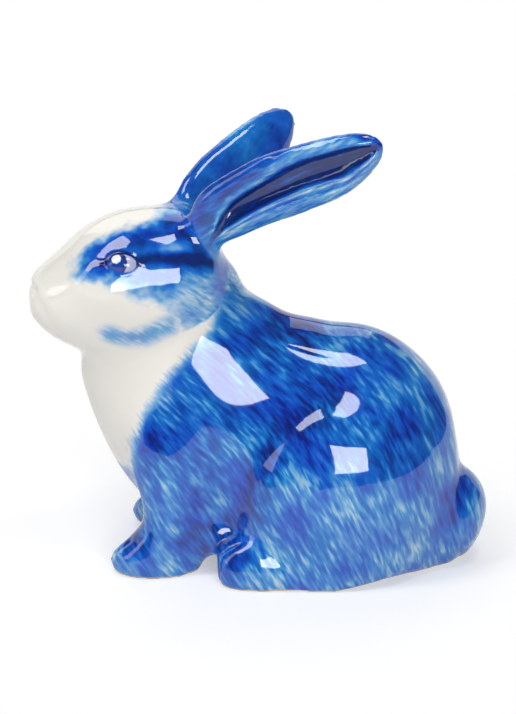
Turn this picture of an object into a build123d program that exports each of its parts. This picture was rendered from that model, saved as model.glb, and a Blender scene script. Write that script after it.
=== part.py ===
from build123d import *
import os
from math import cos, radians, sin

# Slip-cast earthenware rabbit, sitting, with its ears laid back. Millimetres, +Z up.
# The nose points to -X and the rabbit's own left flank to -Y.
# The castings are luted together while damp and fired into one, so every smaller
# piece ends on the surface of the larger one that carries it.

# Shared by the castings
wall = 4.0
vent_radius = 1.8
neck_hole_radius = 1.8

# Trunk, from the neck over the back to the rump
trunk_length = 100.0
trunk_height = 80.0
trunk_width = 54.0

# Head, turned a little towards the rabbit's left
head_length = 50.6
head_height = 40.0
head_width = 37.0
head_turn = 10.0

# Eyes, long pellets bedded in sockets
eye_length = 8.4
eye_height = 5.8
eye_thickness = 4.8
eye_proud = 1.1

# Ears, leaf shaped, with a cupped opening
ear_length = 56.5
ear_width = 18.6
ear_thickness = 6.8
ear_cup_width = 11.0
ear_cup_depth = 3.4

# Forelegs with their paws
foreleg_height = 52.0
foreleg_length = 20.6
foreleg_width = 13.6
foreleg_spread = 35.0
foreleg_stagger = 4.0

# Haunches
haunch_height = 50.0
haunch_length = 50.0
haunch_width = 29.6
haunch_spread = 36.0

# Hind feet
foot_length = 36.0
foot_height = 12.5
foot_width = 14.4
foot_spread = 50.0

# Tail, laid a little towards the rabbit's left
tail_height = 25.0
tail_length = 18.4
tail_width = 25.0
tail_offset = 5.5

# Belly between the legs, clear of the ground
belly_height = 24.0
belly_length = 30.0
belly_width = 37.0

# Places in the trunk's length, or in its length and height
neck_shares = (-0.20, 0.90)
neck_hole_shares = (-0.12, 0.50)
vent_share = 0.20
foreleg_share = -0.275
haunch_share = 0.20
tail_share = 0.50
belly_share = -0.07

# Place of a hind foot ahead of its haunch, in the haunch's length
foot_share = -0.328

# Trunk sections: x of the length, z of the height, lean back in degrees,
# half height of the height, half width of the width, drop of the widest line,
# then how many walls in the hollow lies, or 0 where the trunk is solid
trunk_shares = [
    (-0.289, 0.834, 54.0, 0.220, 0.205, 0.00, 0.0),
    (-0.266, 0.811, 56.0, 0.296, 0.275, 0.00, 0.0),
    (-0.241, 0.706, 49.5, 0.322, 0.325, 0.00, 0.0),
    (-0.189, 0.582, 39.1, 0.359, 0.370, 0.06, 1.2),
    (-0.093, 0.473, 27.6, 0.389, 0.415, 0.18, 1.0),
    (0.049, 0.421, 16.3, 0.378, 0.460, 0.22, 1.0),
    (0.216, 0.309, 3.6, 0.456, 0.500, 0.18, 1.0),
    (0.375, 0.285, -3.1, 0.432, 0.470, 0.15, 1.2),
    (0.468, 0.269, -3.9, 0.345, 0.380, 0.12, 2.2),
    (0.514, 0.266, -3.4, 0.216, 0.250, 0.08, 0.0),
    (0.527, 0.277, -1.9, 0.084, 0.100, 0.00, 0.0),
]

# Belly sections from below up: z of the height, half length of the length, half width of the width
belly_shares = [
    (0.19, 0.36, 0.40),
    (0.28, 0.44, 0.46),
    (0.52, 0.50, 0.50),
    (1.00, 0.46, 0.46),
]

# Head sections from the muzzle back: x of the length, z of the height,
# half height of the height, half width of the width, walls to the hollow
head_shares = [
    (-0.764, -0.027, 0.064, 0.095, 0.0),
    (-0.752, -0.034, 0.126, 0.162, 0.0),
    (-0.718, -0.035, 0.180, 0.230, 0.0),
    (-0.660, -0.040, 0.246, 0.292, 0.0),
    (-0.580, -0.027, 0.319, 0.351, 1.6),
    (-0.489, -0.009, 0.401, 0.405, 1.3),
    (-0.385, 0.000, 0.465, 0.454, 1.1),
    (-0.257, 0.012, 0.500, 0.492, 1.0),
    (-0.128, 0.022, 0.502, 0.500, 1.0),
    (0.000, 0.045, 0.472, 0.486, 1.1),
    (0.102, 0.062, 0.400, 0.427, 1.8),
    (0.174, 0.068, 0.290, 0.324, 0.0),
    (0.211, 0.062, 0.162, 0.203, 0.0),
    (0.225, 0.055, 0.078, 0.095, 0.0),
]

# Place of an eye in the head's sizes, its y taken to either side, and the way it looks
eye_shares = (-0.334, 0.405, 0.265)
eye_look_shares = (-0.24, 0.85, 0.42)

# Each ear's root in the head's sizes, its y taken to its own side, its rise and splay in degrees
left_root_shares = (0.052, 0.218, 0.338)
left_rise = 30.8
left_splay = 27.1
right_root_shares = (-0.043, 0.038, 0.120)
right_rise = 36.0
right_splay = 37.2

# Ear sections from root to tip: along the length, bow of the length, half width of the width,
# half thickness of the thickness, half width and depth of the cup in its own sizes
ear_shares = [
    (0.000, 0.000, 0.300, 0.48, 0.00, 0.00),
    (0.100, 0.042, 0.380, 0.50, 0.00, 0.00),
    (0.180, 0.058, 0.425, 0.50, 0.08, 0.20),
    (0.270, 0.062, 0.450, 0.49, 0.30, 0.80),
    (0.360, 0.059, 0.468, 0.48, 0.40, 1.00),
    (0.460, 0.050, 0.495, 0.48, 0.48, 1.00),
    (0.560, 0.038, 0.492, 0.48, 0.50, 1.00),
    (0.660, 0.022, 0.475, 0.47, 0.50, 0.95),
    (0.770, 0.010, 0.432, 0.44, 0.42, 0.80),
    (0.870, 0.007, 0.348, 0.39, 0.26, 0.50),
    (0.940, 0.005, 0.252, 0.31, 0.06, 0.10),
    (0.985, 0.001, 0.140, 0.19, 0.00, 0.00),
    (1.000, 0.000, 0.055, 0.09, 0.00, 0.00),
]

# Foreleg sections from below the sole up: z of the height, x and half length of the length,
# step inwards and half width of the width
foreleg_shares = [
    (-0.040, 0.000, 0.490, 0.00, 0.45),
    (0.042, 0.000, 0.515, 0.00, 0.50),
    (0.096, 0.005, 0.485, 0.00, 0.50),
    (0.154, 0.083, 0.410, 0.00, 0.47),
    (0.212, 0.165, 0.355, 0.00, 0.46),
    (0.270, 0.248, 0.350, 0.00, 0.47),
    (0.365, 0.282, 0.395, 0.02, 0.51),
    (0.480, 0.296, 0.495, 0.08, 0.56),
    (0.615, 0.262, 0.530, 0.15, 0.59),
    (0.770, 0.306, 0.475, 0.26, 0.56),
    (0.905, 0.330, 0.340, 0.37, 0.44),
    (1.000, 0.330, 0.195, 0.48, 0.26),
]

# Haunch sections, in the same order
haunch_shares = [
    (-0.04, -0.085, 0.42, 0.000, 0.47),
    (0.12, -0.040, 0.46, 0.000, 0.50),
    (0.28, -0.010, 0.50, -0.010, 0.50),
    (0.48, 0.010, 0.51, -0.005, 0.50),
    (0.68, 0.030, 0.47, 0.035, 0.47),
    (0.84, 0.045, 0.37, 0.085, 0.39),
    (0.94, 0.055, 0.23, 0.135, 0.27),
    (1.00, 0.060, 0.10, 0.170, 0.12),
]

# Tail sections, in the same order but without the step
tail_shares = [
    (-0.04, -0.04, 0.29, 0.46),
    (0.08, -0.02, 0.36, 0.49),
    (0.26, 0.02, 0.43, 0.50),
    (0.50, 0.05, 0.48, 0.49),
    (0.72, 0.05, 0.44, 0.42),
    (0.88, 0.01, 0.33, 0.31),
    (1.00, -0.05, 0.16, 0.17),
]

# Hind foot sections from the toes back: x of the length, z and half height of the height,
# half width of the width
foot_shares = [
    (-0.390, 0.36, 0.26, 0.17),
    (-0.360, 0.30, 0.50, 0.31),
    (-0.280, 0.22, 0.68, 0.43),
    (-0.170, 0.20, 0.80, 0.49),
    (0.030, 0.20, 0.78, 0.50),
    (0.250, 0.20, 0.66, 0.50),
    (0.470, 0.18, 0.52, 0.44),
    (0.610, 0.14, 0.34, 0.28),
]

sides = (("left", -1), ("right", 1))
pieces = []


def trunk_section(x, z, lean):
    """A plane across the trunk, leaning back; its local x is the rabbit's width."""
    back = radians(lean)
    return Plane(
        origin=(trunk_length * x, 0, trunk_height * z),
        x_dir=(0, 1, 0),
        z_dir=(cos(back), 0, -sin(back)),
    )


# The head's own axes: x runs from the muzzle to the nape
turn = radians(head_turn)
head_frame = Plane(
    origin=(trunk_length * neck_shares[0], 0, trunk_height * neck_shares[1]),
    x_dir=(cos(turn), sin(turn), 0),
    z_dir=(0, 0, 1),
)


def in_head(x, y, z):
    """A point given in the head's length, width and height."""
    return head_frame.from_local_coords((head_length * x, head_width * y, head_height * z))


def head_section(x, z):
    """A plane across the head; its local x is the head's width."""
    return Plane(in_head(x, 0, z), x_dir=head_frame.y_dir, z_dir=head_frame.x_dir)


def ear_frame(root, side, rise, splay):
    """An ear's own axes: x runs from root to tip, z out of the cup."""
    along = (
        head_frame.x_dir * (cos(radians(rise)) * cos(radians(splay)))
        + head_frame.y_dir * (cos(radians(rise)) * sin(radians(splay)) * side)
        + head_frame.z_dir * sin(radians(rise))
    )
    outward = head_frame.y_dir * side
    return Plane(origin=root, x_dir=along, z_dir=outward - along * outward.dot(along))


# Solid forms of the trunk and the head, which the smaller pieces are cut to
with BuildPart() as trunk_form:
    for x, z, lean, half, side, drop, walls in trunk_shares:
        with BuildSketch(trunk_section(x, z, lean)):
            with BuildLine():
                middle = (0, -trunk_height * half * drop)
                crown = trunk_height * half * (1 + drop)
                keel = trunk_height * half * (1 - drop)
                EllipticalCenterArc(middle, trunk_width * side, crown, 0, arc_size=180)
                EllipticalCenterArc(middle, trunk_width * side, keel, 180, arc_size=180)
            make_face()
    loft()
    for z, half_length, half_width in belly_shares:
        with BuildSketch(Plane.XY.offset(belly_height * z)):
            with Locations((trunk_length * belly_share, 0)):
                Ellipse(belly_length * half_length, belly_width * half_width)
    loft()

with BuildPart() as head_form:
    for x, z, half, side, walls in head_shares:
        with BuildSketch(head_section(x, z)):
            Ellipse(head_width * side, head_height * half)
    loft()

# The hole through the neck that lets the head's hollow breathe into the trunk's
neck_hole_start = Vector(trunk_length * neck_hole_shares[0], 0, trunk_height * neck_hole_shares[1])
neck_hole_run = head_frame.origin - neck_hole_start
with BuildPart() as neck_hole:
    with BuildSketch(Plane(neck_hole_start, z_dir=neck_hole_run)):
        Circle(neck_hole_radius)
    extrude(amount=neck_hole_run.length)

# Trunk shell: a hollow with a flat floor, cut flat underneath, open at the neck and the vent
with BuildPart() as trunk_hollow:
    for x, z, lean, half, side, drop, walls in trunk_shares:
        if walls:
            with BuildSketch(trunk_section(x, z, lean)):
                with BuildLine():
                    middle = (0, -trunk_height * half * drop)
                    inner_width = trunk_width * side - wall * walls
                    crown = trunk_height * half * (1 + drop) - wall * walls
                    keel = trunk_height * half * (1 - drop) - wall * walls
                    EllipticalCenterArc(middle, inner_width, crown, 0, arc_size=180)
                    EllipticalCenterArc(middle, inner_width, keel, 180, arc_size=180)
                make_face()
    loft()
    split(bisect_by=Plane.XY.offset(wall), keep=Keep.TOP)

with BuildPart() as trunk_shell:
    add(trunk_form.part)
    split(bisect_by=Plane.XY, keep=Keep.TOP)
    add(trunk_hollow.part, mode=Mode.SUBTRACT)
    add(head_form.part, mode=Mode.SUBTRACT)
    add(neck_hole.part, mode=Mode.SUBTRACT)
    with BuildSketch(Plane.XY):
        with Locations((trunk_length * vent_share, 0)):
            Circle(vent_radius)
    extrude(amount=wall, mode=Mode.SUBTRACT)
trunk_shell.part.label = "trunk_shell"
pieces.append(trunk_shell.part)

# Eyes
with BuildPart() as pellet:
    Sphere(eye_height / 2)
    scale(by=(eye_length / eye_height, 1, eye_thickness / eye_height))

eyes = []
for label, side in sides:
    look = (
        head_frame.x_dir * eye_look_shares[0]
        + head_frame.y_dir * (eye_look_shares[1] * side)
        + head_frame.z_dir * eye_look_shares[2]
    )
    rim = in_head(eye_shares[0], eye_shares[1] * side, eye_shares[2])
    middle = rim + look.normalized() * (eye_proud - eye_thickness / 2)
    with BuildPart() as eye:
        with Locations(Plane(middle, x_dir=look.cross(head_frame.z_dir), z_dir=look)):
            add(pellet.part)
    eye.part.label = f"eye_{label}"
    eyes.append(eye.part)

# Head shell, with a socket for each eye
with BuildPart() as head_hollow:
    for x, z, half, side, walls in head_shares:
        if walls:
            with BuildSketch(head_section(x, z)):
                Ellipse(head_width * side - wall * walls, head_height * half - wall * walls)
    loft()

with BuildPart() as head_shell:
    add(head_form.part)
    add(head_hollow.part, mode=Mode.SUBTRACT)
    add(neck_hole.part, mode=Mode.SUBTRACT)
    add(eyes, mode=Mode.SUBTRACT)
head_shell.part.label = "head_shell"
pieces.append(head_shell.part)
pieces.extend(eyes)

# Ears
ear_places = (
    (left_root_shares, left_rise, left_splay),
    (right_root_shares, right_rise, right_splay),
)
for (label, side), (root, rise, splay) in zip(sides, ear_places):
    frame = ear_frame(in_head(root[0], root[1] * side, root[2]), side, rise, splay)
    with BuildPart() as ear:
        for along, bow, half, thick, cup, depth in ear_shares:
            middle = frame.from_local_coords((ear_length * along, -ear_length * bow * side, 0))
            with BuildSketch(Plane(middle, x_dir=frame.y_dir, z_dir=frame.x_dir)):
                Ellipse(ear_width * half, ear_thickness * thick)
        loft()
        for along, bow, half, thick, cup, depth in ear_shares:
            if cup:
                lip = (ear_length * along, -ear_length * bow * side, ear_thickness * thick)
                cup_plane = Plane(frame.from_local_coords(lip), x_dir=frame.y_dir, z_dir=frame.x_dir)
                with BuildSketch(cup_plane):
                    Ellipse(ear_cup_width * cup, ear_cup_depth * depth)
        loft(mode=Mode.SUBTRACT)
        add(head_form.part, mode=Mode.SUBTRACT)
    ear.part.label = f"ear_{label}"
    pieces.append(ear.part)

# Forelegs, the right one set back
forelegs = []
for (label, side), stagger in zip(sides, (0, foreleg_stagger)):
    paw_x = trunk_length * foreleg_share + stagger
    with BuildPart() as foreleg:
        for z, x, half_length, step, half_width in foreleg_shares:
            with BuildSketch(Plane.XY.offset(foreleg_height * z)):
                leg_y = side * (foreleg_spread / 2 - foreleg_width * step)
                with Locations((paw_x + foreleg_length * x, leg_y)):
                    Ellipse(foreleg_length * half_length, foreleg_width * half_width)
        loft()
        split(bisect_by=Plane.XY, keep=Keep.TOP)
        add(trunk_form.part, mode=Mode.SUBTRACT)
    foreleg.part.label = f"foreleg_{label}"
    forelegs.append(foreleg.part)
pieces.extend(forelegs)

# Haunches, each with its hind foot in front of it, which clears the foreleg on its side
haunch_x = trunk_length * haunch_share
foot_x = haunch_x + haunch_length * foot_share
for (label, side), foreleg_ahead in zip(sides, forelegs):
    with BuildPart() as haunch_form:
        for z, x, half_length, step, half_width in haunch_shares:
            with BuildSketch(Plane.XY.offset(haunch_height * z)):
                haunch_y = side * (haunch_spread / 2 - haunch_width * step)
                with Locations((haunch_x + haunch_length * x, haunch_y)):
                    Ellipse(haunch_length * half_length, haunch_width * half_width)
        loft()
    with BuildPart() as haunch:
        add(haunch_form.part)
        split(bisect_by=Plane.XY, keep=Keep.TOP)
        add(trunk_form.part, mode=Mode.SUBTRACT)
    haunch.part.label = f"haunch_{label}"
    pieces.append(haunch.part)

    with BuildPart() as hind_foot:
        for x, z, half_height, half_width in foot_shares:
            middle = (foot_x + foot_length * x, side * foot_spread / 2, foot_height * z)
            with BuildSketch(Plane(middle, x_dir=(0, 1, 0), z_dir=(1, 0, 0))):
                Ellipse(foot_width * half_width, foot_height * half_height)
        loft()
        split(bisect_by=Plane.XY, keep=Keep.TOP)
        add(trunk_form.part, mode=Mode.SUBTRACT)
        add(haunch_form.part, mode=Mode.SUBTRACT)
        add(foreleg_ahead, mode=Mode.SUBTRACT)
    hind_foot.part.label = f"hind_foot_{label}"
    pieces.append(hind_foot.part)

# Tail
with BuildPart() as tail:
    for z, x, half_length, half_width in tail_shares:
        with BuildSketch(Plane.XY.offset(tail_height * z)):
            with Locations((trunk_length * tail_share + tail_length * x, -tail_offset)):
                Ellipse(tail_length * half_length, tail_width * half_width)
    loft()
    split(bisect_by=Plane.XY, keep=Keep.TOP)
    add(trunk_form.part, mode=Mode.SUBTRACT)
tail.part.label = "tail"
pieces.append(tail.part)

# The origin is on the ground, under the middle of the whole rabbit
os.makedirs("parts", exist_ok=True)
extent = Compound(pieces).bounding_box()
middle = extent.center()
for piece in pieces:
    export_step(piece.moved(Location((-middle.X, -middle.Y, 0))), f"parts/{piece.label}.step")
print(f"size {extent.size.X:.1f} x {extent.size.Y:.1f} x {extent.size.Z:.1f}")
print(f"moved by {-middle.X:.2f}, {-middle.Y:.2f}")
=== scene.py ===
import math

import bmesh
import bpy
import numpy as np
from mathutils import Euler, Matrix, Vector
from mathutils.bvhtree import BVHTree


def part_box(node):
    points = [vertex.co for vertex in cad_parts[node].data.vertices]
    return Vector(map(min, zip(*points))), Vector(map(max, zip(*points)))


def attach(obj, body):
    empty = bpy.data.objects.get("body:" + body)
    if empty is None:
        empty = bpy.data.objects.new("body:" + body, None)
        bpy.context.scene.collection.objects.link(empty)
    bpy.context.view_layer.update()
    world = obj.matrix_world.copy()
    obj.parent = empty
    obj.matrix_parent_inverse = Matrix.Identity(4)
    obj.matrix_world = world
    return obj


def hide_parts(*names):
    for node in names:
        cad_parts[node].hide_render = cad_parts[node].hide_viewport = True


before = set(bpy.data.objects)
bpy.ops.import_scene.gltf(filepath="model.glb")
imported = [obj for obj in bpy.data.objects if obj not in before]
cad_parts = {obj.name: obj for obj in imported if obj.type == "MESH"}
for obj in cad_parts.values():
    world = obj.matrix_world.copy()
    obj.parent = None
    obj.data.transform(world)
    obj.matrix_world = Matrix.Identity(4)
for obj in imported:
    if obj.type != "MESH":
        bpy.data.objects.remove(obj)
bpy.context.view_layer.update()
mm = 0.001
print("frame loaded:", len(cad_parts), "castings")


def hexColour(text):
    # sRGB hex to the linear colour that the shaders take
    parts = [int(text[i:i + 2], 16) / 255 for i in (1, 3, 5)]
    return tuple(p / 12.92 if p <= 0.04045 else ((p + 0.055) / 1.055) ** 2.4 for p in parts) + (1.0,)


def addNode(tree, kind, inputs, **settings):
    # one node with its settings, then its values and links; a node given as input stands for its first output
    node = tree.nodes.new(kind)
    for name, value in settings.items():
        setattr(node, name, value)
    for socket, value in inputs.items():
        if isinstance(value, bpy.types.Node):
            value = value.outputs[0]
        if isinstance(value, bpy.types.NodeSocket):
            tree.links.new(value, node.inputs[socket])
        else:
            node.inputs[socket].default_value = value
    return node


def newMaterial(name):
    material = bpy.data.materials.new(name)
    material.use_nodes = True
    material.node_tree.nodes.clear()
    return material


def placeObject(name, data):
    shape = bpy.data.objects.new(name, data)
    bpy.context.scene.collection.objects.link(shape)
    return shape


def softStep(values, low, high):
    share = np.clip((values - low) / (high - low), 0, 1)
    return share * share * (3 - 2 * share)


def readPlaces(mesh):
    places = np.empty(len(mesh.vertices) * 3, np.float32)
    mesh.vertices.foreach_get("co", places)
    return places.reshape(-1, 3).astype(float)


def writePlaces(mesh, places):
    mesh.vertices.foreach_set("co", places.astype(np.float32).ravel())
    mesh.update()


def readNormals(mesh):
    normals = np.empty(len(mesh.vertices) * 3, np.float32)
    mesh.vertices.foreach_get("normal", normals)
    return normals.reshape(-1, 3)


def readField(mesh, name):
    values = np.empty(len(mesh.vertices), np.float32)
    mesh.attributes[name].data.foreach_get("value", values)
    return values.astype(float)


def writeField(mesh, name, values):
    mesh.attributes.new(name, "FLOAT", "POINT").data.foreach_set("value", values.astype(np.float32))


def rubVerts(clay, verts, passes):
    for again in range(passes):
        bmesh.ops.smooth_vert(clay, verts=verts, factor=0.5,
                              use_axis_x=True, use_axis_y=True, use_axis_z=True)


def insideDistance(u, v, outline):
    # signed distance to a closed outline in the plane, positive inside
    nearest = np.full(len(u), 1e9)
    inside = np.zeros(len(u), bool)
    for (au, av), (bu, bv) in zip(outline, outline[1:] + outline[:1]):
        du, dv = bu - au, bv - av
        share = np.clip(((u - au) * du + (v - av) * dv) / (du * du + dv * dv), 0, 1)
        nearest = np.minimum(nearest, np.hypot(u - au - share * du, v - av - share * dv))
        if av != bv:
            crossing = ((av > v) != (bv > v)) & (u < au + (v - av) * du / dv)
            inside ^= crossing
    return np.where(inside, nearest, -nearest)


def lineDistance(points, line):
    # distance to an open line through the given corners, in two or three dimensions
    nearest = np.full(len(points), 1e9)
    for start, end in zip(np.array(line[:-1], float), np.array(line[1:], float)):
        run = end - start
        share = np.clip(((points - start) @ run) / (run @ run), 0, 1)
        nearest = np.minimum(nearest, np.linalg.norm(points - start - share[:, None] * run, axis=1))
    return nearest


# the head's own axes, in millimetres: x from muzzle to nape, y across, z up
headOrigin = np.array((-20.52, -0.98, 72.0))
headTurn = math.radians(10)
headAlong = np.array((math.cos(headTurn), math.sin(headTurn), 0.0))
headAcross = np.array((-headAlong[1], headAlong[0], 0.0))


def inHead(places):
    local = places - headOrigin
    return np.stack([local @ headAlong, local @ headAcross, local[:, 2]], 1)


def headPlace(x, y, z):
    return Vector(headOrigin + headAlong * x + headAcross * y + np.array((0, 0, z)))


# the skin: all the castings melted into one glazed surface
skin = {
    "castings": ["trunk_shell", "head_shell", "ear_left", "ear_right", "foreleg_left", "foreleg_right",
                 "haunch_left", "haunch_right", "hind_foot_left", "hind_foot_right", "tail"],
    "merge": 0.001,  # mm
    "grow": 0.15,  # mm outwards, so that neighbours overlap before they are melted
    "voxel": 0.81,  # mm
    "reach": 13,  # mm, how far from a casting its distance is still measured
    # clay added behind the forepaws and under the near ear's root: centre, half sizes in mm, turn about y
    "webs": [
        ((-20.5, -17.0, 6.0), (5.5, 5.5, 8.0), -30),
        ((-16.5, 15.0, 6.0), (5.5, 5.5, 8.0), -30),
        ((-13.0, -16.0, 11.5), (9.5, 7.6, 8.0), 0),
        ((-11.0, 14.5, 11.5), (9.5, 7.6, 8.0), 0),
        (tuple(headPlace(-1.0, -8.6, 13.2)), (8.0, 4.0, 4.0), -30),
    ],
    "ventPlug": ((19.5, -0.98, 2.6), 2.6, 2.4),  # centre, radius, height
    "rub": 0.5,  # factor of each pass of smoothing
    "evenPasses": 7,  # these take out the voxel steps
    # seams worked smooth while damp: the two castings, reach in mm, passes, and where it fades in along x
    "seams": [
        ("head_shell", "trunk_shell", 7.0, 70, None),
        ("foreleg_left", "trunk_shell", 5.0, 40, None),
        ("foreleg_right", "trunk_shell", 5.0, 40, None),
        ("haunch_left", "trunk_shell", 5.0, 34, None),
        ("haunch_right", "trunk_shell", 5.0, 34, None),
        ("haunch_left", "trunk_shell", 12.0, 260, (16, 32)),
        ("haunch_right", "trunk_shell", 12.0, 260, (16, 32)),
        ("hind_foot_left", "haunch_left", 3.0, 14, None),
        ("hind_foot_right", "haunch_right", 3.0, 14, None),
        ("hind_foot_left", "trunk_shell", 2.5, 12, None),
        ("hind_foot_right", "trunk_shell", 2.5, 12, None),
        ("ear_left", "head_shell", 8.0, 110, None),
        ("ear_right", "head_shell", 8.0, 110, None),
        ("tail", "trunk_shell", 3.0, 16, None),
    ],
    # passes on whole parts; the foot's round its lower edge
    "earPasses": 14,
    "headPasses": 40,
    "flankPasses": 240,
    "footPasses": 14,
    "spotPasses": 70,
    # middle and reach in mm: behind and beside the paws, the snout, and the hollow above each haunch
    "spots": [((-13, -20, 13), 14), ((-11, 18, 13), 14), ((-6, -26, 6), 9), ((-6, 24, 6), 9),
              ((-51, -14, 75), 11), ((-54, 6, 75), 11), ((17, -20, 59), 17), ((17, 18, 59), 17)],
    # where these passes come in, from none to all of them
    "fromEars": (1.5, 6),  # mm
    "fromHead": (1, 6),
    "fromTail": (0.5, 4),
    "upper": (13, 22),  # height
    "behindSnout": (-58, -50),  # x
    "sideways": (0.25, 0.6),  # how far a flank faces sideways
    "haunchFront": [(-4, 16), (-1, 28), (5, 38), (12, 44)],  # the ridge in (x, z) that stays crisp
    "fromRidge": (4, 10),  # mm
    "footHeight": (1.5, 6),
    # where ear and head, and head and body, pass into each other, in mm
    "earMeetsHead": (-0.4, 1.2),
    "headMeetsBody": (-0.6, 0.6),
}


def addForm(clay, centre, halfSizes, turn):
    place = Matrix.LocRotScale(Vector(centre) * mm, Euler((0, math.radians(turn), 0)), Vector(halfSizes) * mm)
    bmesh.ops.create_icosphere(clay, subdivisions=4, radius=1, matrix=place)


def bakedMesh(shape, name):
    # the shape's mesh with its modifiers worked in
    shape.update_tag()
    bpy.context.view_layer.update()
    mesh = bpy.data.meshes.new_from_object(shape.evaluated_get(bpy.context.evaluated_depsgraph_get()))
    mesh.name = name
    return mesh


def meltCastings():
    clay = bmesh.new()
    for name in skin["castings"] + ["eye_left", "eye_right"]:
        before = len(clay.verts)
        clay.from_mesh(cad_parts[name].data)
        clay.verts.ensure_lookup_table()
        bmesh.ops.remove_doubles(clay, verts=clay.verts[before:], dist=skin["merge"] * mm)
    clay.normal_update()
    for vert in clay.verts:
        vert.co += vert.normal * skin["grow"] * mm
    for centre, halfSizes, turn in skin["webs"]:
        addForm(clay, centre, halfSizes, turn)
    centre, radius, height = skin["ventPlug"]
    bmesh.ops.create_cone(clay, cap_ends=True, segments=32, radius1=radius * mm, radius2=radius * mm,
                          depth=height * mm, matrix=Matrix.Translation(Vector(centre) * mm))
    mesh = bpy.data.meshes.new("clay")
    clay.to_mesh(mesh)
    clay.free()
    shape = placeObject("clay", mesh)
    melt = shape.modifiers.new("melt", "REMESH")
    melt.mode, melt.voxel_size, melt.adaptivity = "VOXEL", skin["voxel"] * mm, 0
    even = shape.modifiers.new("even", "SMOOTH")
    even.factor, even.iterations = skin["rub"], skin["evenPasses"]
    melted = bakedMesh(shape, "melted")
    bpy.data.objects.remove(shape)
    return melted


def keepOuterSkin(mesh):
    # the hollows come out of the melt as islands of their own; only the outermost one stays
    clay = bmesh.new()
    clay.from_mesh(mesh)
    clay.verts.ensure_lookup_table()
    island = [-1] * len(clay.verts)
    lengths = []
    for start in clay.verts:
        if island[start.index] >= 0:
            continue
        number, queue, low, high = len(lengths), [start], 1e9, -1e9
        island[start.index] = number
        while queue:
            vert = queue.pop()
            low, high = min(low, vert.co.x), max(high, vert.co.x)
            for edge in vert.link_edges:
                other = edge.other_vert(vert)
                if island[other.index] < 0:
                    island[other.index] = number
                    queue.append(other)
        lengths.append(high - low)
    outer = lengths.index(max(lengths))
    bmesh.ops.delete(clay, geom=[v for v in clay.verts if island[v.index] != outer], context="VERTS")
    clay.to_mesh(mesh)
    clay.free()
    print("islands:", [round(length / mm, 1) for length in lengths])


def castingDistances(mesh):
    # how far each vertex is from each casting, in mm; those out of reach stay at 99
    places = readPlaces(mesh)
    reach = skin["reach"] * mm
    distances = {}
    for name in skin["castings"]:
        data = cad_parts[name].data
        tree = BVHTree.FromPolygons([v.co for v in data.vertices], [p.vertices[:] for p in data.polygons])
        low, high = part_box(name)
        near = np.all((places > np.array(low) - reach) & (places < np.array(high) + reach), axis=1)
        away = np.full(len(places), 99.0)
        for i in np.flatnonzero(near):
            away[i] = tree.find_nearest(Vector(places[i]))[3] / mm
        distances[name] = away
    return distances


def rubPart(shape, name, weights, passes):
    # smoothing on one part of the skin only, with a soft edge
    weights = np.round(weights, 1)
    group = shape.vertex_groups.new(name=name)
    for weight in np.unique(weights[weights > 0]):
        group.add(np.flatnonzero(weights == weight).tolist(), float(weight), "REPLACE")
    rub = shape.modifiers.new(name, "SMOOTH")
    rub.factor, rub.iterations, rub.vertex_group = skin["rub"], passes, group.name


melted = meltCastings()
keepOuterSkin(melted)
print("melted:", len(melted.vertices), "vertices")
distances = castingDistances(melted)
places = readPlaces(melted) / mm

skinShape = placeObject("glazed_body", melted)
for first, second, reach, passes, fade in skin["seams"]:
    weights = softStep(1 - np.maximum(distances[first], distances[second]) / reach, 0, 0.8)
    if fade:
        weights *= softStep(places[:, 0], *fade)
    rubPart(skinShape, first + "_" + second, weights, passes)

# the broad surfaces are sponged smooth, so that the glaze mirrors the lamps in clean shapes
nearestEar = np.minimum(distances["ear_left"], distances["ear_right"])
awayFromEars = softStep(nearestEar, *skin["fromEars"])
awayFromHead = softStep(distances["head_shell"], *skin["fromHead"])
upper = softStep(places[:, 2], *skin["upper"]) * softStep(distances["tail"], *skin["fromTail"])
upper *= softStep(places[:, 0], *skin["behindSnout"])
sides = softStep(np.abs(readNormals(melted)[:, 1]), *skin["sideways"])
sides *= softStep(lineDistance(places[:, [0, 2]], skin["haunchFront"]), *skin["fromRidge"])
spots = np.max([1 - softStep(np.linalg.norm(places - np.array(middle), axis=1), reach * 0.5, reach)
                for middle, reach in skin["spots"]], axis=0)
rubPart(skinShape, "ears", 1 - awayFromEars, skin["earPasses"])
rubPart(skinShape, "head", upper * awayFromEars, skin["headPasses"])
rubPart(skinShape, "flanks", upper * awayFromEars * awayFromHead * sides, skin["flankPasses"])
rubPart(skinShape, "spots", spots, skin["spotPasses"])
rubPart(skinShape, "foot", 1 - softStep(places[:, 2], *skin["footHeight"]), skin["footPasses"])

# how much of each vertex belongs to an ear and to the head
nearestBody = np.minimum.reduce([distances[name] for name in skin["castings"]
                                 if name not in ("head_shell", "ear_left", "ear_right")])
earShare = softStep(distances["head_shell"] - nearestEar, *skin["earMeetsHead"])
earShare = np.where(nearestEar < skin["reach"], earShare, 0)
headShare = softStep(nearestBody - distances["head_shell"], *skin["headMeetsBody"]) * (1 - earShare)
writeField(melted, "earShare", earShare)
writeField(melted, "headShare", headShare)
smooth = bakedMesh(skinShape, "glazed_body")
skinShape.modifiers.clear()
skinShape.vertex_groups.clear()
skinShape.data = smooth
print("seams worked smooth:", len(smooth.vertices), "vertices")


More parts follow.
